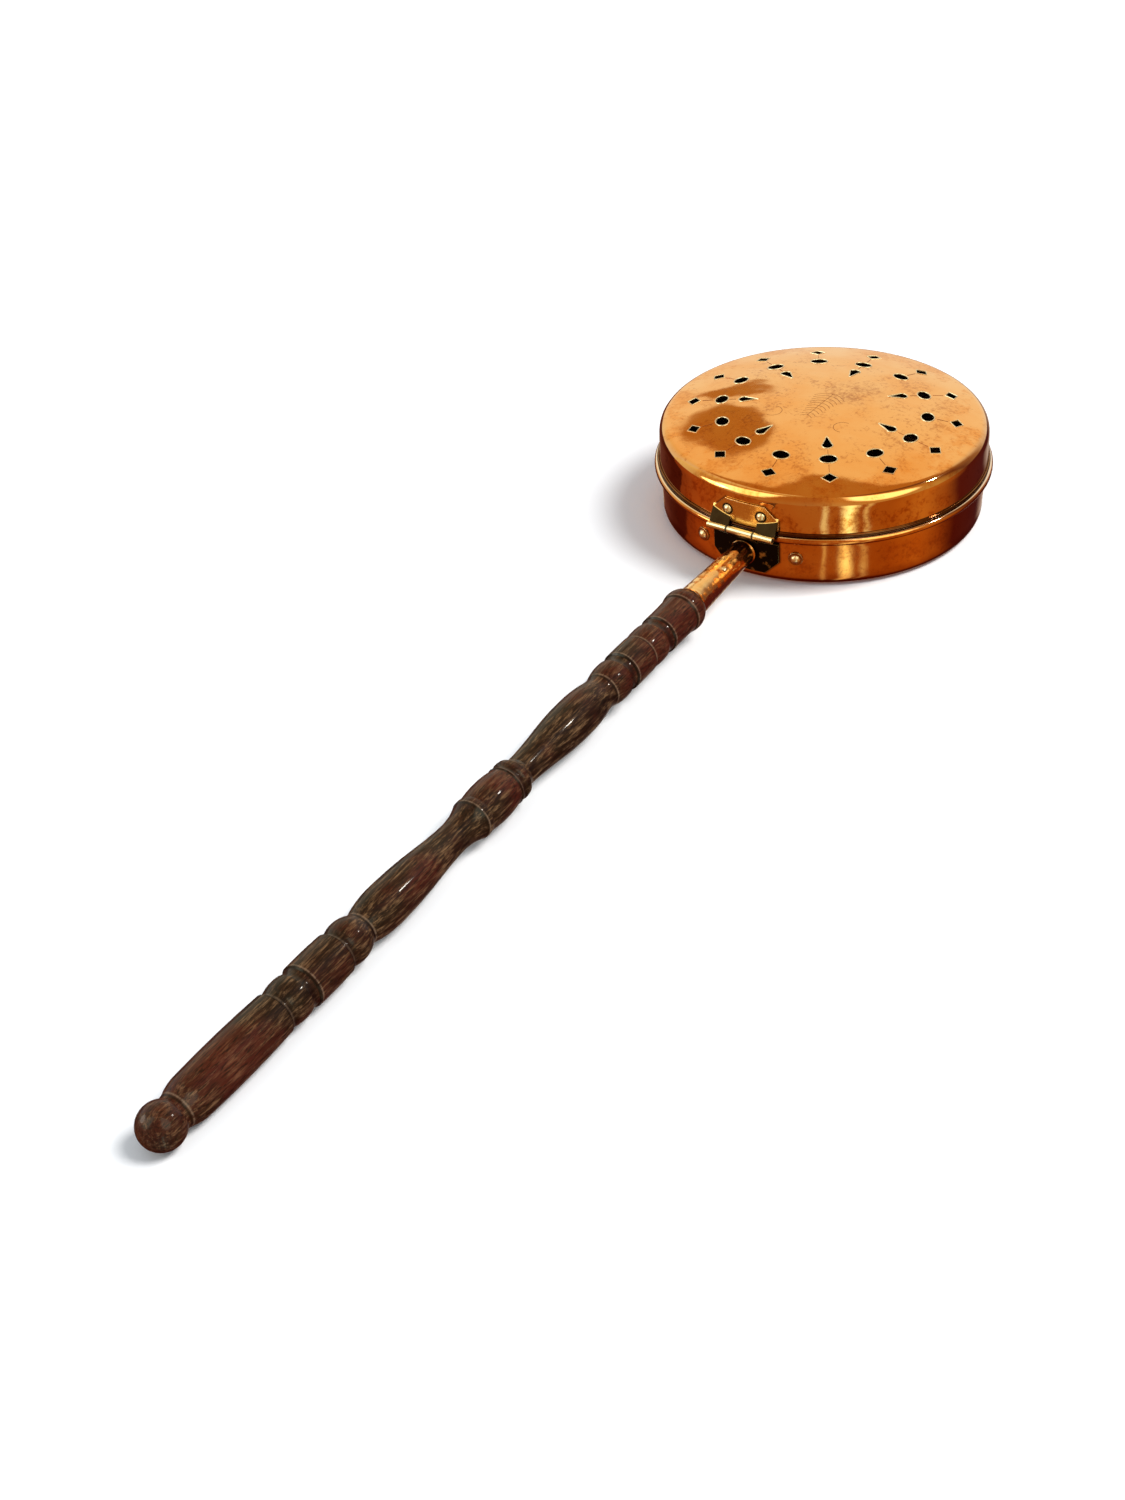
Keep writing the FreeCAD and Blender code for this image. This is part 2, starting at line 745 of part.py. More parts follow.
# Rivets: two through the lid's leaf, one at the foot of the pan's plate, two through the strap
leaf_grip = size.lid_gauge + size.leaf_gauge + size.seat_gap
plate_grip = size.pan_gauge + size.plate_gauge + size.seat_gap
strap_grip = size.pan_gauge + size.strap_gauge + size.rove_gauge + size.seat_gap * 2
for side, sign in (("left", -1), ("right", 1)):
    leaf_rivet = rivet(f"leaf_rivet_{side}_turned", size.leaf_rivet_head, size.leaf_rivet_dome,
                       size.leaf_rivet_shank, leaf_grip)
    place(leaf_rivet, at_leaf_rivet(size.leaf_rivet_spread * sign), placed(z=size.seat_gap + size.leaf_gauge))
    keep(f"leaf_rivet_{side}", leaf_rivet)
    turn = size.strap_rivet_turn * sign
    rove = turned(f"rove_{side}_turned", [
        (size.strap_rivet_shank + size.seat_gap, size.seat_gap),
        (size.rove_radius, size.seat_gap),
        (size.rove_radius - size.rove_gauge / 2, size.rove_gauge + size.seat_gap),
        (size.strap_rivet_shank + size.seat_gap, size.rove_gauge + size.seat_gap),
    ])
    place(rove, at_strap_rivet(turn))
    keep(f"strap_rove_{side}", rove)
    strap_rivet = rivet(f"strap_rivet_{side}_turned", size.strap_rivet_head, size.strap_rivet_dome,
                        size.strap_rivet_shank, strap_grip)
    place(strap_rivet, at_strap_rivet(turn), placed(z=size.seat_gap + size.rove_gauge))
    keep(f"strap_rivet_{side}", strap_rivet)
plate_rivet = rivet("plate_rivet_turned", size.plate_rivet_head, size.plate_rivet_dome,
                    size.plate_rivet_shank, plate_grip)
place(plate_rivet, at_plate_rivet, placed(z=size.seat_gap + size.plate_gauge))
keep("plate_rivet", plate_rivet)

# Iron strap inside the wall, which spreads the handle's pull over the copper
strap_foot = size.socket_height - size.strap_width / 2
strap_head = size.socket_height + size.strap_width / 2
inside_gap = size.pan_gauge + size.seat_gap
strap_blank = turned("strap_bent", [
    (wall_outside(strap_foot) - inside_gap - size.strap_gauge, strap_foot),
    (wall_outside(strap_foot) - inside_gap, strap_foot),
    (wall_outside(strap_head) - inside_gap, strap_head),
    (wall_outside(strap_head) - inside_gap - size.strap_gauge, strap_head),
], size.strap_turn * 2)
place(strap_blank, placed(turn=-90))
keep("inner_strap", cut(
    "strap_pierced", strap_blank,
    hole("strap_hole_left", size.strap_rivet_shank, at_strap_rivet(-size.strap_rivet_turn)),
    hole("strap_hole_right", size.strap_rivet_shank, at_strap_rivet(size.strap_rivet_turn)),
    hole("strap_hole_tang", size.tang_radius, at_handle),
))

# Hammered copper socket, a tapered tube with a lip rolled at each end
socket_end = size.socket_start + size.socket_length
lip = bulge(size.lip_width, as_size(0), size.lip_rise)
socket = turned("socket_formed", [
    (size.socket_tip_radius, size.socket_start, lip),
    (size.socket_tip_radius, size.socket_start + size.lip_width),
    (size.socket_mouth_radius, socket_end - size.lip_width, lip),
    (size.socket_mouth_radius, socket_end),
    (size.socket_mouth_radius - size.socket_gauge, socket_end),
    (size.socket_tip_radius - size.socket_gauge, size.socket_start),
])


def socket_outside(place_along):
    """Radius of the socket at a distance from the wall."""
    share = (place_along - size.socket_start) / size.socket_length
    return size.socket_tip_radius + (size.socket_mouth_radius - size.socket_tip_radius) * share


def place_at_nail(feature, rise):
    """Stand the feature on the socket at the nail's place, its Z axis pointing out of the socket."""
    place(feature, at_handle, placed(
        sine(size.nail_turn) * rise, cosine(size.nail_turn) * rise, size.nail_place, -size.nail_turn, -90))


nail_seat = socket_outside(size.nail_place) + size.nail_lift
nail_reach = nail_seat - size.tang_radius + size.nail_bite
nail = turned("nail_forged", [
    (0, -nail_reach),
    (size.nail_shank, size.nail_shank - nail_reach),
    (size.nail_shank, 0),
    (size.nail_head, 0, dome(size.nail_head, size.nail_dome)),
    (0, size.nail_dome),
])
place_at_nail(nail, nail_seat)
keep("socket_nail", nail)


def nail_hole(name):
    tool = cylinder(name, size.nail_shank + size.seat_gap, nail_reach + size.nail_head)
    place_at_nail(tool, nail_seat - nail_reach)
    return tool


place(socket, at_handle)
keep("socket", cut("socket_pierced", socket, nail_hole("socket_hole")))

# Iron tang, headed over inside the strap and drawn to a blunt point in the wood
tang_foot = -(size.pan_gauge + size.strap_gauge + size.tang_head_gap)
tang = turned("tang_forged", [
    (0, tang_foot - size.tang_dome, dome(size.tang_head, size.tang_dome)),
    (size.tang_head, tang_foot),
    (size.tang_radius, tang_foot),
    (size.tang_radius, size.tang_reach - size.tang_point),
    (size.tang_point_radius, size.tang_reach),
    (0, size.tang_reach),
])
place(tang, at_handle)
keep("tang", cut("tang_pierced", tang, nail_hole("tang_hole")))

# Turned handle: a spigot inside the socket, then beads, coves and vases to the ball
spigot_tip = socket_outside(size.spigot_start) - size.socket_gauge - size.seat_gap
spigot_mouth = size.socket_mouth_radius - size.socket_gauge - size.seat_gap
bore = size.tang_radius + size.seat_gap
bore_reach = size.tang_reach + size.bore_end
handle_corners = [
    (0, bore_reach),
    (bore, bore_reach),
    (bore, size.spigot_start),
    (spigot_tip, size.spigot_start),
    (spigot_mouth, handle_mouth),
]
radius, reach = size.mouth_radius, handle_mouth
for name, length, end_radius, rise in TURNING:
    corner = (radius, reach)
    if rise:
        bulging = getattr(size, f"{name}_rise")
        step = getattr(size, f"{name}_radius") - radius
        corner += (bulge(getattr(size, f"{name}_length"), step, bulging),)
    handle_corners.append(corner)
    radius, reach = getattr(size, f"{name}_radius"), getattr(size, f"{name}_end")
handle_corners.append((radius, reach, size.ball_radius))
handle_corners.append((size.ball_radius, ball_place, size.ball_radius))
handle_corners.append((0, ball_place + size.ball_radius))
handle = turned("handle_turned", handle_corners)
place(handle, at_handle)
keep("handle", cut("handle_bored", handle, nail_hole("handle_hole")))

document.recompute()


def check_document():
    for feature in document.Objects:
        if "Invalid" in feature.State or "Error" in feature.State:
            raise RuntimeError(f"{feature.Name} failed: {feature.State}")
    for label, feature in parts.items():
        if feature.Shape.isNull() or not feature.Shape.isValid():
            raise RuntimeError(f"{label} has no valid shape")


check_document()
os.makedirs("parts", exist_ok=True)
for label, feature in parts.items():
    feature.Shape.exportStep(f"parts/{label}.step")
    box = feature.Shape.optimalBoundingBox()
    print(f"{label}: {len(feature.Shape.Solids)} solid, {feature.Shape.Volume:.1f} mm3, "
          f"z {box.ZMin:.2f} to {box.ZMax:.2f}")
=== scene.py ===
import math

import bmesh
import bpy
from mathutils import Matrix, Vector


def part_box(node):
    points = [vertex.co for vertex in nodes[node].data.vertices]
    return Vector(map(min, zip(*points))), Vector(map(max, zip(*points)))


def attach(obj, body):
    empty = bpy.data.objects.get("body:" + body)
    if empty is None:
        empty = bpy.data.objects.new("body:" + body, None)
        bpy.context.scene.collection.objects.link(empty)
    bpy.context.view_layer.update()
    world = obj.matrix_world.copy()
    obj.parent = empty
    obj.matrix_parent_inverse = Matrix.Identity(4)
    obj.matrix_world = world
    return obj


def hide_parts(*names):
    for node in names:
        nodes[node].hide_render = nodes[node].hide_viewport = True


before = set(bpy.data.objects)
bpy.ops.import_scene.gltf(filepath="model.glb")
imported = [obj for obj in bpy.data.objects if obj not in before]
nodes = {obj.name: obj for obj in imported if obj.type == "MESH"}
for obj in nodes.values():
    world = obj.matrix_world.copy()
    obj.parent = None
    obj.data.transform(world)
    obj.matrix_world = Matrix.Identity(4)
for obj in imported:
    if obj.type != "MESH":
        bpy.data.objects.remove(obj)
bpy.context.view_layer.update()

# The photographer stands in front of the handle and to its right, and looks down on the pan
# with the camera tipped a little clockwise. The lens is a normal one.
eye = Vector((0.7259, -1.4734, 0.9502))
looked_at = Vector((-0.0038, -0.4172, 0.0))
camera_tip = math.radians(-3.61)
camera_data = bpy.data.cameras.new("camera")
camera_data.lens = 51.2
camera_data.clip_end = 50
camera = bpy.data.objects.new("camera", camera_data)
camera.location = eye
camera.rotation_mode = "QUATERNION"
camera.rotation_quaternion = (looked_at - eye).to_track_quat("-Z", "Y")
bpy.context.scene.collection.objects.link(camera)
bpy.context.scene.camera = camera
camera.rotation_mode = "XYZ"
camera.rotation_euler.rotate_axis("Z", camera_tip)


# A white studio. The floor is lit by a broad soft light overhead. The copper mirrors the room
# round it: a pale far wall with a brown upper part, two bright windows in front of the pan, and
# a warm brown lower room with a narrow bright card at its side.
class Flow:
    """An output of a material's or a geometry tree's node; arithmetic on it adds Math nodes."""

    def __init__(self, graph, socket):
        self.graph = graph
        self.socket = socket

    def math(self, operation, *others):
        return self.graph.maths(operation, self, *others)

    def __add__(self, other):
        return self.math("ADD", other)

    def __sub__(self, other):
        return self.math("SUBTRACT", other)

    def __rsub__(self, other):
        return self.graph.maths("SUBTRACT", other, self)

    def __mul__(self, other):
        return self.math("MULTIPLY", other)

    def __truediv__(self, other):
        return self.math("DIVIDE", other)

    def __rtruediv__(self, other):
        return self.graph.maths("DIVIDE", other, self)

    __radd__ = __add__
    __rmul__ = __mul__

    def above(self, low, high):
        """0 below low, 1 above high, and smooth between them."""
        return self.graph.node("ShaderNodeMapRange", {"interpolation_type": "SMOOTHSTEP"}, {
            "Value": self, "From Min": low, "From Max": high})

    def near(self, place, width):
        """1 at the place, falling smoothly to 0 at a width away from it."""
        return 1 - (self - place).math("ABSOLUTE").above(0, width)


class Graph:
    """A node tree that is filled through a few short calls."""

    def __init__(self, tree):
        self.tree = tree
        self.tree.nodes.clear()

    def node(self, kind, settings=None, values=None, output=0):
        """Add a node, make its settings, fill its sockets, and hand back one output."""
        made = self.tree.nodes.new(kind)
        for name, value in (settings or {}).items():
            if name == "stops":
                ramp = made.color_ramp.elements
                while len(ramp) < len(value):
                    ramp.new(0.5)
                for element, (position, colour) in zip(ramp, value):
                    element.position = position
                    element.color = (*colour, 1)
            else:
                setattr(made, name, value)
        for name, value in (values or {}).items():
            if isinstance(value, Flow):
                self.tree.links.new(value.socket, made.inputs[name])
            else:
                made.inputs[name].default_value = value
        return Flow(self, made.outputs[output] if made.outputs else None)

    def maths(self, operation, *values):
        return self.node("ShaderNodeMath", {"operation": operation}, dict(enumerate(values)))

    def blend(self, share, first, second, how="MIX"):
        """Mix two colours."""
        first, second = (value if isinstance(value, Flow) else (*value, 1) for value in (first, second))
        return self.node("ShaderNodeMix", {"data_type": "RGBA", "blend_type": how},
                         {0: share, 6: first, 7: second}, 2)

    def parts_of(self, vector):
        """The x, y and z of a vector."""
        split = self.node("ShaderNodeSeparateXYZ", None, {0: vector})
        return [Flow(self, output) for output in split.socket.node.outputs]


studio = bpy.data.worlds.new("studio")
studio.use_nodes = True
room = Graph(studio.node_tree)
towards = room.node("ShaderNodeTexCoord")
across, away, up = room.parts_of(towards)
flutter = room.node("ShaderNodeTexNoise", None, {"Vector": towards, "Scale": 9.0, "Detail": 3.0}) - 0.5
bearing = away.math("ARCTAN2", across) * math.degrees(1) + flutter * 5
height = up.math("ARCSINE") * math.degrees(1) + flutter * 3


def around(*stops):
    """Colours of the room by compass bearing, in degrees from +X towards +Y."""
    return room.node("ShaderNodeValToRGB", {"stops": [
        ((degrees + 180) / 360, colour) for degrees, colour in stops]}, {0: (bearing + 180) / 360})


def screen(bearing_middle, height_middle, half_width, half_height, edge=0.2):
    """1 inside an oval of the room's wall, 0 outside it."""
    side = (bearing - bearing_middle) / half_width
    rise = (height - height_middle) / half_height
    return 1 - (side * side + rise * rise).math("SQRT").above(1 - edge, 1 + edge)


low_room = around(
    (-180, (0.2, 0.05, 0.015)), (-160, (0.34, 0.09, 0.018)), (-119, (0.38, 0.14, 0.03)), (-68, (0.38, 0.15, 0.03)),
    (-15, (0.36, 0.12, 0.015)), (10, (0.5, 0.2, 0.03)), (32, (0.3, 0.1, 0.02)), (46, (0.08, 0.012, 0.01)),
    (84, (0.07, 0.016, 0.018)), (98, (0.45, 0.38, 0.34)), (124, (0.6, 0.45, 0.3)), (133, (0.14, 0.045, 0.03)),
    (166, (0.06, 0.01, 0.006)))
low_room = room.blend(1 - height.above(-70, -38), low_room, (0.1, 0.012, 0.004))
side_card = bearing.near(-45, 8) + bearing.near(-61, 3) * 0.35 + bearing.near(-32, 4) * 0.3
low_room = room.blend(side_card * height.above(-72, -48), low_room, (1.5, 1.9, 1.35))
high_room = around(
    (-180, (0.8, 0.75, 0.42)), (-158, (0.6, 0.45, 0.2)), (-96, (0.42, 0.2, 0.05)), (-70, (0.4, 0.18, 0.05)),
    (-50, (0.55, 0.32, 0.1)), (20, (0.5, 0.3, 0.08)), (42, (0.14, 0.05, 0.025)), (60, (0.3, 0.16, 0.07)),
    (76, (0.75, 0.68, 0.55)), (96, (0.93, 0.8, 0.54)), (134, (0.93, 0.78, 0.5)), (152, (0.85, 0.72, 0.42)),
    (176, (0.75, 0.72, 0.6)))
haze = room.node("ShaderNodeValToRGB", {"stops": [
    (0.0, (1.0, 1.15, 1.5)), (0.16, (1.0, 1.1, 1.3)), (0.33, (1.0, 1.0, 1.0)), (0.5, (0.97, 0.88, 0.72))]},
    {0: height / 90})
high_room = room.blend(1.0, high_room, haze, "MULTIPLY")
brown_wall = height.above(48.6, 50.2) * (1 - (bearing - 110).math("ABSOLUTE").above(44, 52))
brown_wall = brown_wall.math("MAXIMUM", height.above(80, 85))
for spot in ((127.5, 33, 5.5, 8.5), (124.5, 20.3, 4.6, 2.0)):
    brown_wall = brown_wall.math("MAXIMUM", screen(*spot))
high_room = room.blend(brown_wall, high_room, (0.46, 0.22, 0.045))
windows = screen(-126, 42, 21, 30).math("MAXIMUM", screen(-14, 48, 26, 29))
high_room = room.blend(windows, high_room, (2.0, 2.1, 1.5))
whole_room = room.blend(height.above(-3, 1), low_room, high_room)
mirrored = room.node("ShaderNodeLightPath", None, None, 3)
whole_room = room.blend(mirrored, (0.52, 0.56, 0.6), whole_room)
seen = room.node("ShaderNodeLightPath", None, None, 0)
whole_room = room.blend(seen, whole_room, (0.94, 0.94, 0.945))
light = room.node("ShaderNodeBackground", None, {"Color": whole_room, "Strength": 1.0})
room.node("ShaderNodeOutputWorld", None, {"Surface": light})
bpy.context.scene.world = studio
bpy.context.scene.view_settings.view_transform = "Standard"

floor_reach = 6.0
floor_mesh = bpy.data.meshes.new("floor")
floor_mesh.from_pydata([(x * floor_reach, y * floor_reach, 0) for x, y in ((-1, -1), (1, -1), (1, 1), (-1, 1))],
                       [], [(0, 1, 2, 3)])
floor = bpy.data.objects.new("floor", floor_mesh)
floor.visible_glossy = False
bpy.context.scene.collection.objects.link(floor)
paper = bpy.data.materials.new("white_paper")
paper.use_nodes = True
paper_graph = Graph(paper.node_tree)
paper_surface = paper_graph.node("ShaderNodeBsdfPrincipled", None, {
    "Base Color": (0.93, 0.93, 0.935, 1), "Roughness": 0.9, "Specular IOR Level": 0.1})
paper_graph.node("ShaderNodeOutputMaterial", None, {"Surface": paper_surface})
floor_mesh.materials.append(paper)


def lit(name, kind, place, aimed_at, size, power, colour):
    """A soft lamp; its size is a disc's width in metres, or the angle under which a sky light is seen."""
    lamp = bpy.data.lights.new(name, kind)
    if kind == "AREA":
        lamp.shape = "DISK"
        lamp.size = size
    else:
        lamp.angle = size
    lamp.energy = power
    lamp.color = colour
    stand = bpy.data.objects.new(name, lamp)
    stand.location = place
    stand.rotation_euler = (Vector(aimed_at) - Vector(place)).to_track_quat("-Z", "Y").to_euler()
    bpy.context.scene.collection.objects.link(stand)
    return stand


sky_light = lit("sky_light", "SUN", (1.4, 0.75, 2.3), (0, -0.1, 0), math.radians(26), 2.7, (1, 0.99, 0.975))
sky_light.visible_glossy = False
lit("high_glint", "AREA", (1.1, 0.75, 1.45), (0, -0.4, 0), 0.14, 5, (1, 0.95, 0.86))
lit("left_window", "AREA", (-1.7, -1.55, 0.75), (0, -0.55, 0), 0.9, 8, (1, 0.95, 0.84))

# The lid is one sheet of copper, raised over a stake into a low dome with a short upright skirt,
# its edge rolled over a wire. Rings of diamonds, ovals and teardrops are punched through it to let
# the heat out, each with a burr round it, and years of knocks have left shallow dents.
MM = 0.001
lid_round = 336
skirt_radius = 140.6 * MM
skirt_top = 73.9 * MM
shoulder_radius = 10 * MM
crown_radius = 640 * MM
lid_gauge = 0.8 * MM
bead_centre = (141.25 * MM, 49.4 * MM)
bead_radius = 1.45 * MM
bead_hollow = 0.65 * MM
curl_end = 470
shoulder_centre = skirt_radius - shoulder_radius
crown_centre = skirt_top - math.sqrt((crown_radius - shoulder_radius) ** 2 - shoulder_centre ** 2)
crown_edge = math.degrees(math.atan2(skirt_top - crown_centre, shoulder_centre))


def arc(centre, radius, start, end, steps):
    """Points of a half section's arc, from one angle to another in degrees."""
    angles = (math.radians(start + (end - start) * step / steps) for step in range(steps + 1))
    return [(centre[0] + radius * math.cos(angle), centre[1] + radius * math.sin(angle)) for angle in angles]


def between(start, end, steps):
    """Points that divide a straight stretch, without its ends."""
    return [tuple(a + (b - a) * step / steps for a, b in zip(start, end)) for step in range(1, steps)]


def revolved(name, section, count):
    """Closed solid turned from a half section; a point on the axis becomes one vertex."""
    mesh = bmesh.new()
    rings = []
    for radius, height in section:
        if radius < 1e-9:
            rings.append([mesh.verts.new((0, 0, height))] * count)
        else:
            rings.append([mesh.verts.new((radius * math.cos(turn), radius * math.sin(turn), height))
                          for turn in (2 * math.pi * step / count for step in range(count))])
    for ring, following in zip(rings, rings[1:] + rings[:1]):
        for step in range(count):
            after = (step + 1) % count
            corners = []
            for corner in (ring[step], ring[after], following[after], following[step]):
                if corner not in corners:
                    corners.append(corner)
            if len(corners) > 2:
                mesh.faces.new(corners)
    bmesh.ops.recalc_face_normals(mesh, faces=mesh.faces)
    data = bpy.data.meshes.new(name)
    mesh.to_mesh(data)
    mesh.free()
    piece = bpy.data.objects.new(name, data)
    bpy.context.scene.collection.objects.link(piece)
    return piece


crown_line = arc((0, crown_centre), crown_radius, 90, crown_edge, 44)
shoulder_line = arc((shoulder_centre, skirt_top), shoulder_radius, crown_edge, 0, 12)
bead_line = arc(bead_centre, bead_hollow, 180, curl_end, 14)
bead_outside = arc(bead_centre, bead_radius, curl_end, 180, 20)
inner_shoulder = arc((shoulder_centre, skirt_top), shoulder_radius - lid_gauge, 0, crown_edge, 10)
inner_crown = arc((0, crown_centre), crown_radius - lid_gauge, crown_edge, 90, 30)
lid_section = (
    [(0, crown_line[0][1])] + crown_line[1:] + shoulder_line[1:]
    + between(shoulder_line[-1], bead_line[0], 8) + bead_line + bead_outside
    + between(bead_outside[-1], inner_shoulder[0], 6) + inner_shoulder + inner_crown[1:-1]
    + [(0, inner_crown[-1][1])])
lid_blank = revolved("lid_dome", lid_section, lid_round)


def new_tree(name, **inputs):
    """A geometry tree with named inputs; hand back it, its graph and what flows in."""
    tree = bpy.data.node_groups.new(name, "GeometryNodeTree")
    tree.interface.new_socket("Geometry", in_out="INPUT", socket_type="NodeSocketGeometry")
    for label, amount in inputs.items():
        kind = "NodeSocketInt" if isinstance(amount, int) else "NodeSocketFloat"
        socket = tree.interface.new_socket(label.replace("_", " "), in_out="INPUT", socket_type=kind)
        socket.default_value = amount
    tree.interface.new_socket("Geometry", in_out="OUTPUT", socket_type="NodeSocketGeometry")
    graph = Graph(tree)
    given = graph.node("NodeGroupInput")
    return tree, graph, {output.name: Flow(graph, output) for output in given.socket.node.outputs if output.name}


def triple(graph, x, y, z):
    return graph.node("ShaderNodeCombineXYZ", None, {0: x, 1: y, 2: z})


punching, punch, asked = new_tree(
    "lid_punching", Holes=14, First_spoke=math.radians(-86.3), Crown_radius=crown_radius,
    Crown_centre=crown_centre, Burr=0.5 * MM, Burin=0.25 * MM, Dent_depth=1.3 * MM, Skirt_dents=0.55 * MM)


def punched_diamond(x, y, spare):
    return x * (6.3 * MM + spare), y * (5.2 * MM + spare)


def punched_oval(x, y, spare):
    return x * (7 * MM + spare), y * (5.2 * MM + spare)


def punched_drop(x, y, spare):
    """The round end looks outward; the inner half is drawn out to a point."""
    inward = (y * -1).math("MAXIMUM", 0)
    radius = 4.2 * MM + spare
    return x * (1 - inward * 0.55) * radius, (y - inward * inward * 1.69) * radius


def spread(shape, ring, share, shift):
    """Stand a shape square to the crown at every spoke, or at a share of them."""
    count = punch.maths("ROUND", asked["Holes"] * share)
    spot = punch.node("GeometryNodeInputIndex")
    spoke = asked["First spoke"] + (spot + shift) * (2 * math.pi / count)
    lean = punch.maths("ARCSINE", ring / asked["Crown radius"])
    height = asked["Crown centre"] + asked["Crown radius"] * lean.math("COSINE")
    seats = punch.node("GeometryNodePoints", None, {
        "Count": count, "Position": triple(punch, spoke.math("COSINE") * ring, spoke.math("SINE") * ring, height)})
    facing = punch.node("FunctionNodeEulerToRotation", None, {
        0: triple(punch, lean * -1, 0.0, spoke - math.pi / 2)})
    stood = punch.node("GeometryNodeInstanceOnPoints", None, {
        "Points": seats, "Instance": shape, "Rotation": facing})
    return punch.node("GeometryNodeRealizeInstances", None, {"Geometry": stood})


def shaped(shape, outline, spare):
    x, y, z = punch.parts_of(punch.node("GeometryNodeInputPosition"))
    wide, long = outline(x, y, spare)
    return punch.node("GeometryNodeSetPosition", None, {"Geometry": shape, "Position": triple(punch, wide, long, z)})


def wired(line, radius, sides):
    """Round wire along a curve."""
    ring = punch.node("GeometryNodeCurvePrimitiveCircle", None, {"Resolution": sides, "Radius": radius})
    return punch.node("GeometryNodeCurveToMesh", None, {"Curve": line, "Profile Curve": ring})


def joined(graph, *parts):
    join = graph.node("GeometryNodeJoinGeometry")
    for part in reversed(parts):
        graph.tree.links.new(part.socket, join.socket.node.inputs[0])
    return join


def tagged(shape, number):
    """Mark the faces, so that they get a metal of their own at the end."""
    return punch.node("GeometryNodeStoreNamedAttribute", {"data_type": "INT", "domain": "FACE"}, {
        "Geometry": shape, "Name": "trim", "Value": number})


cutters = []
burrs = []
for corners, outline, ring, share, shift in (
        (4, punched_diamond, 113 * MM, 1, 0), (28, punched_oval, 88.5 * MM, 1, 0),
        (28, punched_drop, 69 * MM, 0.5, 0.5)):
    block = punch.node("GeometryNodeMeshCylinder", None, {
        "Vertices": corners, "Side Segments": 1, "Radius": 1.0, "Depth": 8 * MM})
    loop = punch.node("GeometryNodeMeshCircle", None, {"Vertices": corners, "Radius": 1.0})
    lip = punch.node("GeometryNodeMeshToCurve", None, {"Mesh": shaped(loop, outline, asked["Burr"])})
    cutters.append(spread(shaped(block, outline, 0.0), ring, share, shift))
    burrs.append(spread(wired(lip, asked["Burr"], 6), ring, share, shift))

# Lines cut with a burin join the holes of each spoke, and a frond with two scrolls fills the middle.
spoke_lines = [
    spread(punch.node("GeometryNodeMeshCube", None, {"Size": (0.4 * MM, long, 0.3 * MM)}), ring, share, shift)
    for long, ring, share, shift in ((6 * MM, 79 * MM, 0.5, 0.5), (9.5 * MM, 101 * MM, 1, 0))]
stem = punch.node("GeometryNodeMeshLine", None, {
    "Count": 10, "Start Location": (0.5 * MM, 17 * MM, 0), "Offset": (-0.35 * MM, -4.7 * MM, 0)})
leaflet = punch.node("GeometryNodeCurveQuadraticBezier", None, {
    "Resolution": 8, "Start": (0, 0, 0), "Middle": (7 * MM, 0, 0), "End": (13 * MM, -7 * MM, 0)})
order = punch.node("GeometryNodeInputIndex")
fronds = [punch.node("GeometryNodeMeshToCurve", None, {"Mesh": stem})]
for side in (-1, 1):
    length = 1.08 - order * 0.075
    leaves = punch.node("GeometryNodeInstanceOnPoints", None, {
        "Points": stem, "Instance": leaflet, "Scale": triple(punch, length * side, length, 1.0)})
    fronds.append(punch.node("GeometryNodeRealizeInstances", None, {"Geometry": leaves}))
    scroll = punch.node("GeometryNodeCurveArc", {"mode": "RADIUS"}, {
        "Resolution": 20, "Radius": 8 * MM, "Start Angle": math.radians(80), "Sweep Angle": math.radians(200)})
    fronds.append(punch.node("GeometryNodeTransform", None, {
        "Geometry": scroll, "Translation": (33 * MM * side, -30 * MM, 0), "Scale": (side, 1, 1)}))
frond = wired(joined(punch, *fronds), asked["Burin"], 4)
frond_x, frond_y, frond_z = punch.parts_of(punch.node("GeometryNodeInputPosition"))
surface = asked["Crown centre"] + (
    asked["Crown radius"] * asked["Crown radius"] - frond_x * frond_x - frond_y * frond_y).math("SQRT")
frond = punch.node("GeometryNodeSetPosition", None, {
    "Geometry": frond, "Position": triple(punch, frond_x, frond_y, surface + frond_z * 0.3)})

cut_lid = punch.node("GeometryNodeMeshBoolean", {"operation": "DIFFERENCE", "solver": "MANIFOLD"}, {
    "Mesh 1": asked["Geometry"], "Mesh 2": joined(punch, *cutters)})
whole_lid = joined(
    punch, cut_lid, tagged(joined(punch, *burrs), 1), tagged(joined(punch, frond, *spoke_lines), 2))
spot_x, spot_y, spot_z = punch.parts_of(punch.node("GeometryNodeInputPosition"))
flat_spot = triple(punch, spot_x, spot_y, 0.0)
knocks = punch.node("ShaderNodeTexNoise", None, {"Vector": flat_spot, "Scale": 17.0, "Detail": 1.0})
ripples = punch.node("ShaderNodeTexNoise", None, {"Vector": flat_spot, "Scale": 48.0, "Detail": 1.0})
sides = punch.node("ShaderNodeTexNoise", None, {
    "Vector": triple(punch, spot_x, spot_y, spot_z * 1.6), "Scale": 30.0, "Detail": 1.0})
reach = (spot_x * spot_x + spot_y * spot_y).math("SQRT")
on_crown = 1 - reach.above(118 * MM, 138.5 * MM)
middle = 1 - reach.above(15 * MM, 100 * MM)
depth = ((knocks + ripples * 0.16 - 0.58) * asked["Dent depth"] + middle * 0.5 * MM) * on_crown
on_skirt = spot_z.above(52 * MM, 60 * MM) * (1 - spot_z.above(74 * MM, 84 * MM))
inward = sides * asked["Skirt dents"] * on_skirt / reach * -1
dented = punch.node("GeometryNodeSetPosition", None, {
    "Geometry": whole_lid, "Offset": triple(punch, spot_x * inward, spot_y * inward, depth * -1)})
lid_copper = bpy.data.materials.new("lid_copper")
burr_copper = bpy.data.materials.new("burr_copper")
burin_copper = bpy.data.materials.new("burin_copper")
dressed = punch.node("GeometryNodeRealizeInstances", None, {"Geometry": dented})
trim = punch.node("GeometryNodeInputNamedAttribute", {"data_type": "INT"}, {"Name": "trim"})
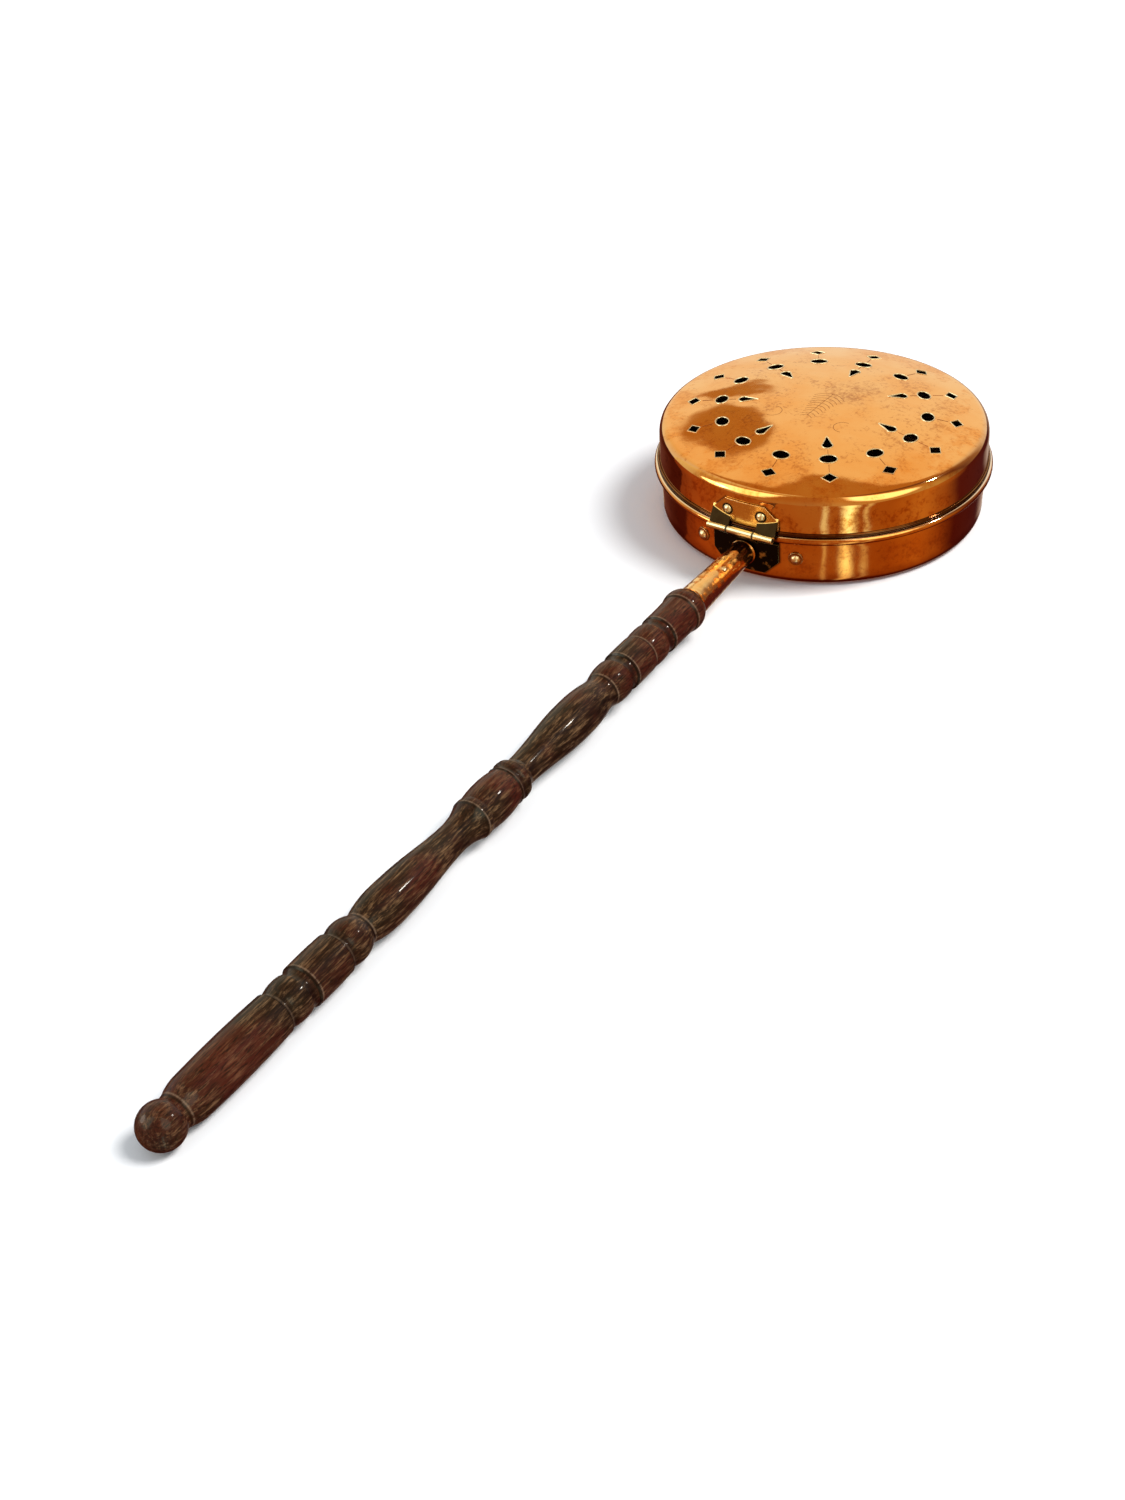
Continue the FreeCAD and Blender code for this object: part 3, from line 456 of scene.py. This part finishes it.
for number, metal in enumerate((lid_copper, burr_copper, burin_copper)):
    dressed = punch.node("GeometryNodeSetMaterial", None, {
        "Geometry": dressed, "Selection": trim.math("COMPARE", number, 0.1)})
    dressed.socket.node.inputs["Material"].default_value = metal
punch.node("NodeGroupOutput", None, {0: dressed})


def grown(blank, tree, name, **chosen):
    """Run the tree on the blank and keep the result as a plain mesh."""
    growth = blank.modifiers.new("growth", "NODES")
    growth.node_group = tree
    for item in tree.interface.items_tree:
        label = item.name.replace(" ", "_")
        if item.in_out == "INPUT" and label in chosen:
            growth[item.identifier] = chosen[label]
    bpy.context.view_layer.update()
    ready = blank.evaluated_get(bpy.context.evaluated_depsgraph_get())
    data = bpy.data.meshes.new_from_object(ready)
    bpy.data.objects.remove(blank)
    data.name = name
    piece = bpy.data.objects.new(name, data)
    bpy.context.scene.collection.objects.link(piece)
    return piece


def smoothed(piece, degrees):
    """Shade the piece smooth, with creases where its faces meet at more than the angle."""
    piece.data.shade_smooth()
    mesh = bmesh.new()
    mesh.from_mesh(piece.data)
    limit = math.radians(degrees)
    for edge in mesh.edges:
        edge.smooth = len(edge.link_faces) == 2 and edge.calc_face_angle(0) < limit
    mesh.to_mesh(piece.data)
    mesh.free()


pierced_lid = grown(lid_blank, punching, "pierced_lid")
smoothed(pierced_lid, 35)


def surfaced(look, **values):
    """Finish a material's tree with a principled surface."""
    shader = look.node("ShaderNodeBsdfPrincipled", None, {
        name.replace("_", " "): value for name, value in values.items()})
    look.node("ShaderNodeOutputMaterial", None, {"Surface": shader})


def noise(look, spot, scale, detail=3.0, rough=0.55):
    return look.node("ShaderNodeTexNoise", None, {
        "Vector": spot, "Scale": scale, "Detail": detail, "Roughness": rough})


def bumped(look, height, distance, strength=1.0, normal=None):
    values = {"Height": height, "Distance": distance, "Strength": strength}
    if normal is not None:
        values["Normal"] = normal
    return look.node("ShaderNodeBump", None, values)


def new_finish(name):
    """Look up or add a material, and hand back its tree and the surface's own coordinates."""
    material = bpy.data.materials.get(name) or bpy.data.materials.new(name)
    material.use_nodes = True
    look = Graph(material.node_tree)
    return look, look.node("ShaderNodeTexCoord", None, None, 3)


def copper_finish(name, bright, tarnished, stain, polish, extra=None, sooty_from=None):
    """Old polished copper: cloudy tarnish, brown flecks, and soot on the inside of a vessel."""
    look, place = new_finish(name)
    cloud = noise(look, place, 17.0, 4.0, 0.62)
    fleck = noise(look, place, 320.0, 4.0, 0.7)
    bloom = noise(look, place, 38.0, 5.0, 0.7)
    tone = look.blend(cloud.above(0.36, 0.66), bright, tarnished)
    tone = look.blend((bloom * fleck * 2).above(stain, stain + 0.25) * 0.5, tone, (0.42, 0.12, 0.035))
    if extra:
        tone = extra(look, place, tone, bloom, fleck)
    rough = polish + bloom.above(0.4, 0.7) * 0.04 + fleck.above(0.5, 0.72) * 0.03
    if sooty_from is not None:
        x, y, z = look.parts_of(place)
        out_x, out_y, out_z = look.parts_of(look.node("ShaderNodeTexCoord", None, None, 1))
        inside = 1 - (x * out_x + y * out_y + (z - sooty_from) * out_z).above(-2 * MM, 0)
        tone = look.blend(inside * 0.92, tone, (0.09, 0.05, 0.03))
        rough = rough + inside * 0.4
    bumps = bumped(look, bloom * 0.1 + fleck * 0.008, 1.0 * MM, 0.5)
    surfaced(look, Base_Color=tone, Metallic=1.0, Normal=bumps, Roughness=rough)


def round_hinge(x, y, z, node, upward):
    """1 on the copper just round a leaf of the hinge with two clipped corners, where a band of painted shade is laid.
    """
    low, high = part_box(node)
    end = high[2] if upward == 1 else -low[2]
    aside = x.math("ABSOLUTE")
    past_side = aside - high[0]
    past_end = z * upward - end
    past_corner = (aside + z * upward - (high[0] + end - 12 * MM)) * 0.707
    past = past_side.math("MAXIMUM", past_end).math("MAXIMUM", past_corner)
    return (1 - past.above(-0.3 * MM, 2.2 * MM)) * (1 - y.above(-0.125, -0.12))


def lid_stains_and_shade(look, place, tone, bloom, fleck):
    """Mottled brown mid-crown, saturated clouds at its edge, painted shade round the hinge and under the bead."""
    x, y, z = look.parts_of(place)
    aside = ((x - 16 * MM) * (x - 16 * MM) + (y - 26 * MM) * (y - 26 * MM)).math("SQRT")
    mottle = (1 - aside.above(6 * MM, 34 * MM)) * (bloom * fleck * 2).above(0.36, 0.62)
    tone = look.blend(mottle * 0.55, tone, (0.45, 0.15, 0.05))
    reach = (x * x + y * y).math("SQRT")
    tone = look.blend(reach.above(85 * MM, 128 * MM) * bloom.above(0.46, 0.6) * 0.5, tone, (0.9, 0.33, 0.05))
    skirt = 1 - z.above(72 * MM, 80 * MM)
    tone = look.blend(bloom.above(0.44, 0.6) * fleck.above(0.4, 0.6) * skirt * 0.6, tone, (0.55, 0.16, 0.03))
    # Painted shade: a dark band round the hinge's leaf on the lid.
    tone = look.blend(round_hinge(x, y, z, "hinge_lid_leaf", 1) * 0.85, tone, (0.06, 0.018, 0.008))
    # Painted shade: the bead and the skirt's foot below it are made nearly black, for the shade in the gap over the
    # pan's rim.
    return look.blend((1 - z.above(50.4 * MM, 51.8 * MM)) * 0.93, tone, (0.05, 0.012, 0.006))


copper_finish("lid_copper", (1.0, 0.56, 0.24), (0.97, 0.47, 0.16), 0.52, 0.05, lid_stains_and_shade, 50 * MM)
# Painted highlight: the burrs round the holes are pale cream, for the bright edges of the holes.
copper_finish("burr_copper", (1.0, 0.92, 0.75), (1.0, 0.85, 0.62), 0.9, 0.4)
copper_finish("burin_copper", (0.4, 0.15, 0.05), (0.3, 0.09, 0.03), 0.9, 0.4)
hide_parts("lid_shell")
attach(pierced_lid, "lid")

# The pan is raised from a heavier sheet of the same copper, with a flat floor, a round corner and
# a rim rolled outward over iron wire. Its wall is dented a little and darker than the lid towards the
# foot, and a thin painted highlight runs round the top of its rim.
rim_centre = (141.95 * MM, 44.6 * MM)
rim_radius = 3.05 * MM
rim_hollow = 1.85 * MM
rim_curl = -110
pan_corner = 8 * MM
pan_gauge = 1.2 * MM
wall_top = rim_centre[0] - rim_hollow
wall_lean = math.radians(3)
foot_radius = wall_top - (rim_centre[1] - pan_corner) * math.tan(wall_lean)
corner_centre = (foot_radius - pan_corner, pan_corner)
inner_corner = arc(corner_centre, pan_corner - pan_gauge, -90, 0, 10)
rim_outside = arc(rim_centre, rim_radius, 180, rim_curl, 26)
rim_inside = arc(rim_centre, rim_hollow, rim_curl, 180, 18)
outer_corner = arc(corner_centre, pan_corner, 0, -90, 12)
floor_line = between((0, pan_gauge), inner_corner[0], 12)
pan_section = (
    [(0, pan_gauge)] + floor_line + inner_corner + between(inner_corner[-1], rim_outside[0], 12)
    + rim_outside + rim_inside + between(rim_inside[-1], outer_corner[0], 14) + outer_corner
    + between(outer_corner[-1], (0, 0), 6) + [(0, 0)])
pan_blank = revolved("pan_blank", pan_section, 288)

beating, beat, given = new_tree(
    "beaten_wall", Waves=28.0, Wave_depth=0.5 * MM, Marks=95.0, Mark_depth=0.1 * MM, From=7 * MM, To=42 * MM,
    Fade=4 * MM)
wall_x, wall_y, wall_z = beat.parts_of(beat.node("GeometryNodeInputPosition"))
wall_spot = beat.node("GeometryNodeInputPosition")
waves = beat.node("ShaderNodeTexNoise", None, {"Vector": wall_spot, "Scale": given["Waves"], "Detail": 1.0})
marks = beat.node("ShaderNodeTexVoronoi", {"feature": "SMOOTH_F1"}, {
    "Vector": wall_spot, "Scale": given["Marks"], "Smoothness": 0.35})
wall_reach = (wall_x * wall_x + wall_y * wall_y).math("SQRT").math("MAXIMUM", MM)
on_wall = wall_z.above(given["From"], given["From"] + given["Fade"]) * (
    1 - wall_z.above(given["To"] - given["Fade"], given["To"]))
sunk = (waves * given["Wave depth"] + (1 - marks) * given["Mark depth"]) * on_wall / wall_reach * -1
beaten = beat.node("GeometryNodeSetPosition", None, {
    "Geometry": given["Geometry"], "Offset": triple(beat, wall_x * sunk, wall_y * sunk, 0.0)})
settled = beat.node("GeometryNodeRealizeInstances", None, {"Geometry": beaten})
coated = beat.node("GeometryNodeSetMaterial", None, {"Geometry": settled})
pan_copper = bpy.data.materials.new("pan_copper")
coated.socket.node.inputs["Material"].default_value = pan_copper
beat.node("NodeGroupOutput", None, {0: coated})
beaten_pan = grown(pan_blank, beating, "beaten_pan")
smoothed(beaten_pan, 40)


def pan_stains_shade_and_highlight(look, place, tone, bloom, fleck):
    """Dark red-brown at the foot, painted shade round the hinge's plate, and a thin painted highlight on the rim."""
    x, y, z = look.parts_of(place)
    low = (1 - (z + (bloom - 0.5) * 20 * MM).above(2 * MM, 15 * MM)) * 0.85
    tone = look.blend(bloom.above(0.44, 0.62) * 0.35, tone, (0.62, 0.16, 0.03))
    tone = look.blend(low, tone, (0.38, 0.085, 0.025))
    # Painted shade: a dark band round the hinge's plate on the pan's wall.
    tone = look.blend(round_hinge(x, y, z, "hinge_pan_leaf", -1) * 0.85, tone, (0.06, 0.018, 0.008))
    # Painted highlight: a thin pale line round the top of the rim.
    return look.blend(z.above(46.95 * MM, 47.15 * MM) * 0.95, tone, (1.0, 0.86, 0.75))


copper_finish("pan_copper", (0.93, 0.42, 0.13), (0.82, 0.3, 0.07), 0.48, 0.08, pan_stains_shade_and_highlight, 25 * MM)
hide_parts("pan_bowl")
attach(beaten_pan, "pan")


def coat(node, material):
    """Give one of the model's own solids its finish."""
    data = nodes[node].data
    data.materials.clear()
    data.materials.append(bpy.data.materials[material])


# Hoops of iron wire stiffen the two rolled edges, an iron strap backs the wall, and the tang and
# the hinge pin are forged iron, blackened and a little rusty.
iron_look, iron_place = new_finish("black_iron")
rust = noise(iron_look, iron_place, 120.0, 5.0, 0.65)
surfaced(
    iron_look,
    Base_Color=iron_look.blend(rust.above(0.5, 0.72), (0.05, 0.042, 0.038), (0.16, 0.06, 0.025)),
    Metallic=1 - rust.above(0.5, 0.72) * 0.7, Roughness=0.42 + rust * 0.3,
    Normal=bumped(iron_look, rust, 0.4 * MM, 0.5))
for node in ("pan_rim_wire", "lid_rim_wire", "inner_strap", "tang", "hinge_pin"):
    coat(node, "black_iron")


# The hinge is sheet brass: a leaf on the lid with clipped top corners, a plate on the pan's wall,
# and three knuckles. The leaf is rubbed bright and its edges lighter, partly rubbed and partly
# painted highlight; the barrel is painted pale cream as a painted highlight. The webs in the bend
# behind the barrel and the leaf's foot carry painted shade, the rivets have dark rings round them,
# and the whole plate is nearly black.
hinge_height = 47.65 * MM
barrel_radius = 2.8 * MM
hinge_reach = 148.2 * MM
knuckle_joint = 12.15 * MM
leaf_rivet_height = hinge_height + 14.5 * MM
leaf_rivet_side = 15.3 * MM
leaf_face = 141.95 * MM


# Brass whose rounded edges are made lighter, partly rubbed and partly painted highlight. Given a darkening mask, it
# paints the barrel pale cream as a painted highlight, darkens the knuckle joints, and lays the mask's dark marks and
# painted shade on the leaf or plate.
def brass_finish(name, rubbed, dull, edge_glow, polish, darkening=None, hides_edges=1.0):
    look, place = new_finish(name)
    cloud = noise(look, place, 75.0, 4.0, 0.65)
    grain = noise(look, place, 420.0, 3.0, 0.6)
    round_edge = look.node("ShaderNodeBevel", {"samples": 8}, {"Radius": 0.45 * MM})
    flat = look.node("ShaderNodeNewGeometry", None, None, 1)
    facing = look.node("ShaderNodeVectorMath", {"operation": "DOT_PRODUCT"}, {0: round_edge, 1: flat}, 1)
    # Painted highlight, with some rubbing: a lighter line along the rounded edges.
    edge_wear_and_highlight = (1 - facing).above(0.01, 0.1) * edge_glow
    tone = look.blend(cloud.above(0.35, 0.68), rubbed, dull)
    if darkening:
        x, y, z = look.parts_of(place)
        back = y + hinge_reach
        up = z - hinge_height
        on_barrel = 1 - (back * back + up * up).math("SQRT").above(barrel_radius * 1.03, barrel_radius * 1.1)
        joints = x.math("ABSOLUTE").near(knuckle_joint, 1.7 * MM) * on_barrel
        darkened = darkening(look, place, x, y, z) * (1 - on_barrel)
        # Painted highlight: the whole barrel is pale cream.
        tone = look.blend(on_barrel, tone, (1.0, 0.9, 0.66))
        darkened = darkened.math("MAXIMUM", joints)
        # Dark marks and painted shade from the mask, with the dark knuckle joints.
        tone = look.blend(darkened, tone, (0.014, 0.008, 0.005))
        polish = darkened * 0.25 + polish
        edge_wear_and_highlight = edge_wear_and_highlight * (1 - on_barrel) * (1 - darkened * hides_edges)
    tone = look.blend(edge_wear_and_highlight, tone, (1.0, 0.82, 0.52))
    surfaced(look, Base_Color=tone, Metallic=1.0, Roughness=polish + cloud * 0.2,
             Normal=bumped(look, cloud + grain * 0.2, 0.5 * MM, 0.4, round_edge))


def leaf_rings_and_shade(look, place, x, y, z):
    """Dark rings round the two rivets, and painted shade on the webs in the bend behind the barrel and low on the
    leaf.
    """
    aside = x.math("ABSOLUTE") - leaf_rivet_side
    rise = z - leaf_rivet_height
    rings = 1 - (aside * aside + rise * rise).math("SQRT").above(4.5 * MM, 6 * MM)
    # Painted shade on the webs in the bend behind the barrel.
    bend = (x * x + y * y).math("SQRT").above(leaf_face + 0.1 * MM, leaf_face + 0.5 * MM)
    # Painted shade low on the leaf, just above the barrel.
    low = 1 - z.above(hinge_height + 4 * MM, hinge_height + 7 * MM)
    return rings.math("MAXIMUM", bend * 0.97).math("MAXIMUM", low * 0.4)


def plate_darkening(look, place, x, y, z):
    """The plate is nearly black save for a few lighter spots."""
    return 1 - noise(look, place, 110.0, 3.0, 0.6).above(0.58, 0.72) * 0.7


brass_finish("leaf_brass", (0.95, 0.6, 0.22), (0.8, 0.42, 0.11), 0.9, 0.14, leaf_rings_and_shade)
brass_finish("plate_brass", (0.8, 0.55, 0.25), (0.4, 0.2, 0.08), 0.8, 0.2, plate_darkening, 0.55)
brass_finish("rivet_brass", (1.0, 0.92, 0.72), (1.0, 0.8, 0.52), 0.4, 0.26)
brass_finish("rivet_copper", (1.0, 0.88, 0.66), (1.0, 0.7, 0.42), 0.4, 0.26)
brass_finish("rove_copper", (0.5, 0.2, 0.06), (0.3, 0.1, 0.03), 1.0, 0.2)
coat("hinge_lid_leaf", "leaf_brass")
coat("hinge_pan_leaf", "plate_brass")
for node in ("leaf_rivet_left", "leaf_rivet_right", "plate_rivet"):
    coat(node, "rivet_brass")
for node in ("strap_rivet_left", "strap_rivet_right", "socket_nail"):
    coat(node, "rivet_copper")
for node in ("strap_rove_left", "strap_rove_right"):
    coat(node, "rove_copper")

# The socket is a tapered tube of copper beaten round the handle, covered in hammer marks, with a
# rolled lip at each end. It is pushed over the tang up to the pan's wall.
handle_height = 26 * MM
wall_here = foot_radius + (handle_height - pan_corner) * math.tan(wall_lean)
ball_radius = 16.4 * MM
ball_place = 733 * MM
handle_dip = math.asin((handle_height - ball_radius) / ball_place)
socket_start = 2.6 * MM
socket_end = 93.6 * MM
tip_radius = 10.6 * MM
mouth_radius = 13.4 * MM
socket_gauge = 1 * MM
lip_width = 2.4 * MM
lip_rise = 0.8 * MM


def lip(radius, start):
    """A low round lip round the tube, from its start to its end along the tube."""
    return [(radius + lip_rise * math.sin(math.pi * step / 8), start + lip_width * step / 8) for step in range(9)]


tip_lip = lip(tip_radius, socket_start)
mouth_lip = lip(mouth_radius, socket_end - lip_width)
socket_section = (
    tip_lip + between(tip_lip[-1], mouth_lip[0], 130) + mouth_lip
    + [(mouth_radius - socket_gauge, socket_end)]
    + between((mouth_radius - socket_gauge, socket_end), (tip_radius - socket_gauge, socket_start), 12)
    + [(tip_radius - socket_gauge, socket_start)])
socket_blank = revolved("socket_blank", socket_section, 120)
hammered_socket = grown(
    socket_blank, beating, "hammered_socket", Waves=90.0, Wave_depth=0.2 * MM, Marks=150.0,
    Mark_depth=0.4 * MM, From=socket_start + lip_width, To=socket_end - lip_width, Fade=2 * MM)
along_handle = Vector((0, -math.cos(handle_dip), -math.sin(handle_dip)))
stand_on_wall = along_handle.to_track_quat("Z", "Y").to_matrix().to_4x4()
stand_on_wall.translation = (0, -wall_here, handle_height)
hammered_socket.data.transform(stand_on_wall)
hammered_socket.data.materials[0] = bpy.data.materials.new("socket_copper")
smoothed(hammered_socket, 50)


def socket_shade_and_highlight(look, place, tone, bloom, fleck):
    """The lip at the wood is painted near white as a painted highlight, and the tip by the pan's wall is redder and
    darker as painted shade.
    """
    along_tube = look.parts_of(place)[1] * -1 - wall_here
    # Painted shade: redder and darker towards the tip at the pan's wall.
    tone = look.blend((1 - along_tube.above(8 * MM, 40 * MM)) * 0.7, tone, (0.8, 0.3, 0.09))
    # Painted highlight: the lip at the wood is made near white.
    return look.blend(along_tube.above(socket_end - lip_width, socket_end - lip_width * 0.8), tone, (1.0, 0.93, 0.82))


copper_finish("socket_copper", (1.0, 0.78, 0.46), (1.0, 0.62, 0.28), 0.6, 0.14, socket_shade_and_highlight)
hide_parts("socket")
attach(hammered_socket, "pan")

# The handle is turned from oak, stained nearly black with red lights in it, and varnished. The
# grain runs along it as fine streaks and open pores.
oak_look, oak_place = new_finish("stained_oak")
long_grain = oak_look.node("ShaderNodeMapping", None, {"Vector": oak_place, "Scale": (1.0, 0.09, 1.0)})
figure = noise(oak_look, long_grain, 460.0, 6.0, 0.72)
pores = noise(oak_look, long_grain, 1100.0, 3.0, 0.7)
red_light = noise(oak_look, oak_place, 13.0, 3.0, 0.55)
wood_tone = oak_look.node("ShaderNodeValToRGB", {"stops": [
    (0.38, (0.004, 0.0015, 0.001)), (0.5, (0.022, 0.009, 0.004)), (0.64, (0.15, 0.08, 0.035))]}, {0: figure})
wood_tone = oak_look.blend(red_light.above(0.42, 0.62) * 0.55, wood_tone, (0.085, 0.01, 0.004))
wood_tone = oak_look.blend(pores.above(0.5, 0.62) * 0.85, wood_tone, (0.004, 0.0015, 0.001))
wood_starts = wall_here + socket_end + 0.4 * MM
# Painted shade and painted highlight on the turning: a dark band at each edge and in each cove, and a thin light line
# just before each edge.
edges_of_turning = (0.8, 15, 48, 77.5, 104, 133, 265.5, 309, 439.5, 466, 501.5, 530, 626)
coves_of_turning = (53.5, 109, 261.5, 463, 506, 527)
along = oak_look.parts_of(oak_place)[1] * -1 - wood_starts
painted_shade = 0.0
light = 0.0
for edge in edges_of_turning:
    painted_shade = along.near(edge * MM, 1.8 * MM).math("MAXIMUM", painted_shade)
    light = along.near((edge - 1.7) * MM, 1.2 * MM).math("MAXIMUM", light)
for cove in coves_of_turning:
    painted_shade = (along.near(cove * MM, 6 * MM) * 0.8).math("MAXIMUM", painted_shade)
# Painted highlight: a thin light line just before each edge of the turning.
wood_tone = oak_look.blend(light * figure.above(0.35, 0.5) * 0.5, wood_tone, (0.22, 0.14, 0.085))
# Painted shade: dark bands at the edges and in the coves.
wood_tone = oak_look.blend(painted_shade * 0.85, wood_tone, (0.004, 0.0015, 0.001))
surfaced(
    oak_look, Base_Color=wood_tone, Roughness=0.36 + pores * 0.2, Specular_IOR_Level=0.14,
    Coat_Weight=0.34, Coat_Roughness=0.07,
    Normal=bumped(oak_look, pores * -0.6 + figure * 0.6, 0.25 * MM, 0.7))
coat("handle", "stained_oak")
